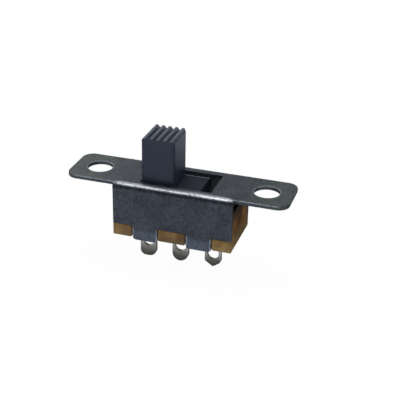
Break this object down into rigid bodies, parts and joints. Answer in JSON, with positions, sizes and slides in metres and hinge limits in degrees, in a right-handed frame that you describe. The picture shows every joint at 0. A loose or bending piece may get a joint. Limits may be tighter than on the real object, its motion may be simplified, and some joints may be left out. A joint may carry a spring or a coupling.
{
  "type": "slide switch",
  "caption": "Miniature panel-mount slide switch: black steel frame with screw ears, brown moulded base, ribbed knob and solder lugs.",
  "frame": {"origin": "midway between the two mounting holes, on the flange's top face", "axes": "+X along the flange and the knob's travel, +Z out of the panel on the knob's side, along the mounting holes"},
  "size_m": [0.0196, 0.0054, 0.012],
  "materials": {
    "black_steel": "thin black coating on sheet steel, worn bright along the folds",
    "brown_moulding": "brown thermoset moulding, slightly translucent at its edges",
    "tinned_strip": "dull tinned brass strip",
    "dark_plastic": "dark blue-black moulded plastic, satin gloss",
    "silvered_spring": "silver-plated spring bronze"
  },
  "bodies": {
    "housing": {"frame": "black_steel", "base": "brown_moulding", "terminal_left": "tinned_strip", "terminal_centre": "tinned_strip", "terminal_right": "tinned_strip"},
    "slider": {"slider": "dark_plastic", "contact_clip": "silvered_spring"}
  },
  "joints": [
    {"name": "slider_travel", "type": "slide", "parent": "housing", "child": "slider", "axis": [1, 0, 0], "range_m": [0, 0.00325]}
  ]
}
